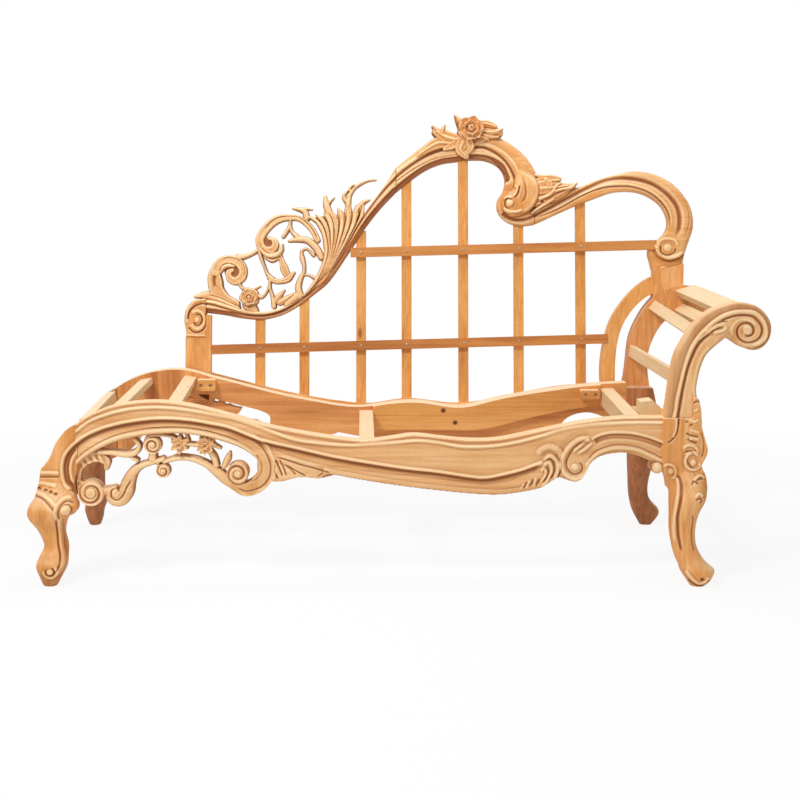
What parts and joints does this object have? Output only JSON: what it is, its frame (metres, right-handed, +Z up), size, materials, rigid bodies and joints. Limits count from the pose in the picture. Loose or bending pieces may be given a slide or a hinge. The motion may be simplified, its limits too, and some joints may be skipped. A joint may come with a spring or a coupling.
{
  "type": "chaise longue frame",
  "caption": "Carved bare wood chaise longue frame with a scrolled arm, a sloping open-slat back with pierced crest, and cabriole legs, ready to be upholstered.",
  "frame": {"origin": "on the floor, under the middle of the whole frame's box", "axes": "+X along the seat towards the arm, +Y from the front rail to the back, +Z up"},
  "size_m": [1.81, 0.7108, 1.1772],
  "materials": {
    "carved_hardwood": "bare, hand carved and sanded",
    "rear_hardwood": "bare, sawn",
    "sawn_softwood": "bare, sawn and planed",
    "beech_dowel": "bare, turned",
    "steel_fastener": "plain"
  },
  "bodies": {
    "root": {"arm_corner_block": "sawn_softwood", "arm_front_scroll": "carved_hardwood", "arm_rear_scroll": "rear_hardwood", "arm_slat_1": "sawn_softwood", "arm_slat_2": "sawn_softwood", "arm_slat_3": "sawn_softwood", "arm_slat_4": "sawn_softwood", "back_arm_stile": "sawn_softwood", "back_bottom_rail": "sawn_softwood", "back_cross_slat_lower": "sawn_softwood", "back_cross_slat_upper": "sawn_softwood", "back_left_post": "carved_hardwood", "back_right_post": "carved_hardwood", "back_slat_1": "sawn_softwood", "back_slat_2": "sawn_softwood", "back_slat_3": "sawn_softwood", "back_slat_4": "sawn_softwood", "back_slat_5": "sawn_softwood", "back_slat_6": "sawn_softwood", "back_slat_7": "sawn_softwood", "back_slat_nails": "steel_fastener", "center_cross_rail": "sawn_softwood", "cleat_screws": "steel_fastener", "crest_center": "carved_hardwood", "crest_flower": "carved_hardwood", "crest_fretwork": "carved_hardwood", "crest_left": "carved_hardwood", "crest_left_volute": "carved_hardwood", "crest_right_arch": "carved_hardwood", "crest_s_scroll": "carved_hardwood", "crest_spray": "carved_hardwood", "end_rail_left": "sawn_softwood", "front_fretwork": "carved_hardwood", "front_left_leg": "carved_hardwood", "front_rail": "carved_hardwood", "front_rail_volute": "carved_hardwood", "front_right_leg": "carved_hardwood", "joint_dowels": "beech_dowel", "post_cleat_left": "sawn_softwood", "post_cleat_right": "sawn_softwood", "rear_fretwork": "rear_hardwood", "rear_left_arch": "rear_hardwood", "rear_left_leg": "rear_hardwood", "rear_rail": "rear_hardwood", "rear_rail_liner": "rear_hardwood", "rear_rail_volute": "rear_hardwood", "rear_right_leg": "rear_hardwood", "right_cross_rail": "sawn_softwood", "seat_slat_left_1": "sawn_softwood", "seat_slat_left_2": "sawn_softwood", "side_rail_right": "sawn_softwood"}
  },
  "joints": []
}
